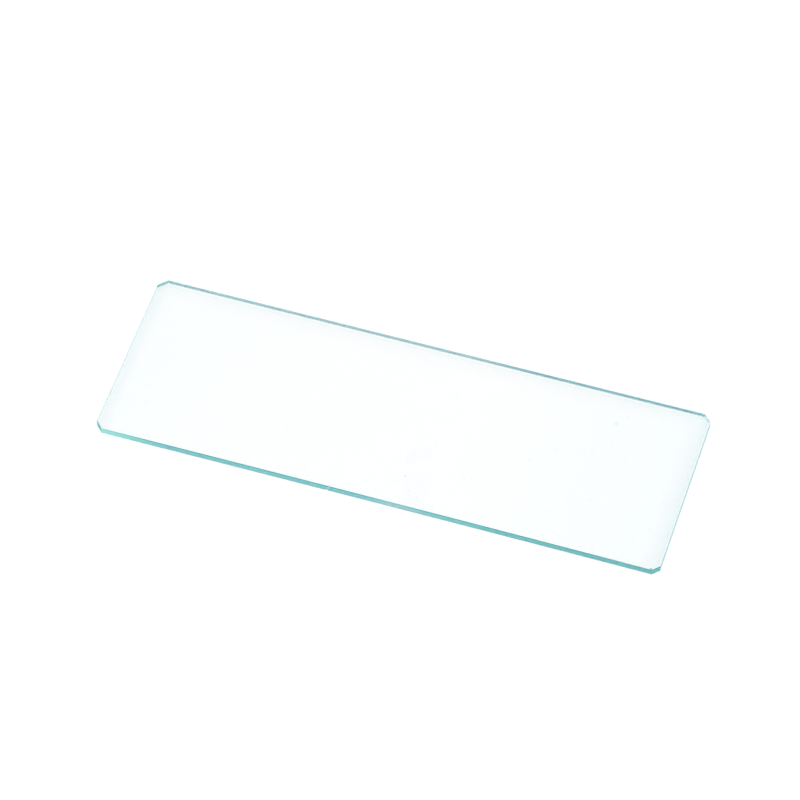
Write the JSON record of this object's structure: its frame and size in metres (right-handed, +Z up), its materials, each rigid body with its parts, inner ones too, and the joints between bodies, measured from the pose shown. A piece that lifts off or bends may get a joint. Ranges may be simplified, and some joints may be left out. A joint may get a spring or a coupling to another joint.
{
  "type": "microscope slide",
  "caption": "Flat glass slide with ground edges and clipped corners, on which a specimen is laid for viewing under a microscope.",
  "frame": {"origin": "middle of the underside, on the surface the slide lies on", "axes": "+X along the slide, +Y across it towards the back, +Z up through the thickness"},
  "size_m": [0.0762, 0.0254, 0.0012],
  "materials": {
    "clear_glass": "clear soda-lime glass, polished on both faces and fine ground on the edges, faintly blue-green through its depth"
  },
  "bodies": {
    "root": {"glass_slide": "clear_glass"}
  },
  "joints": []
}
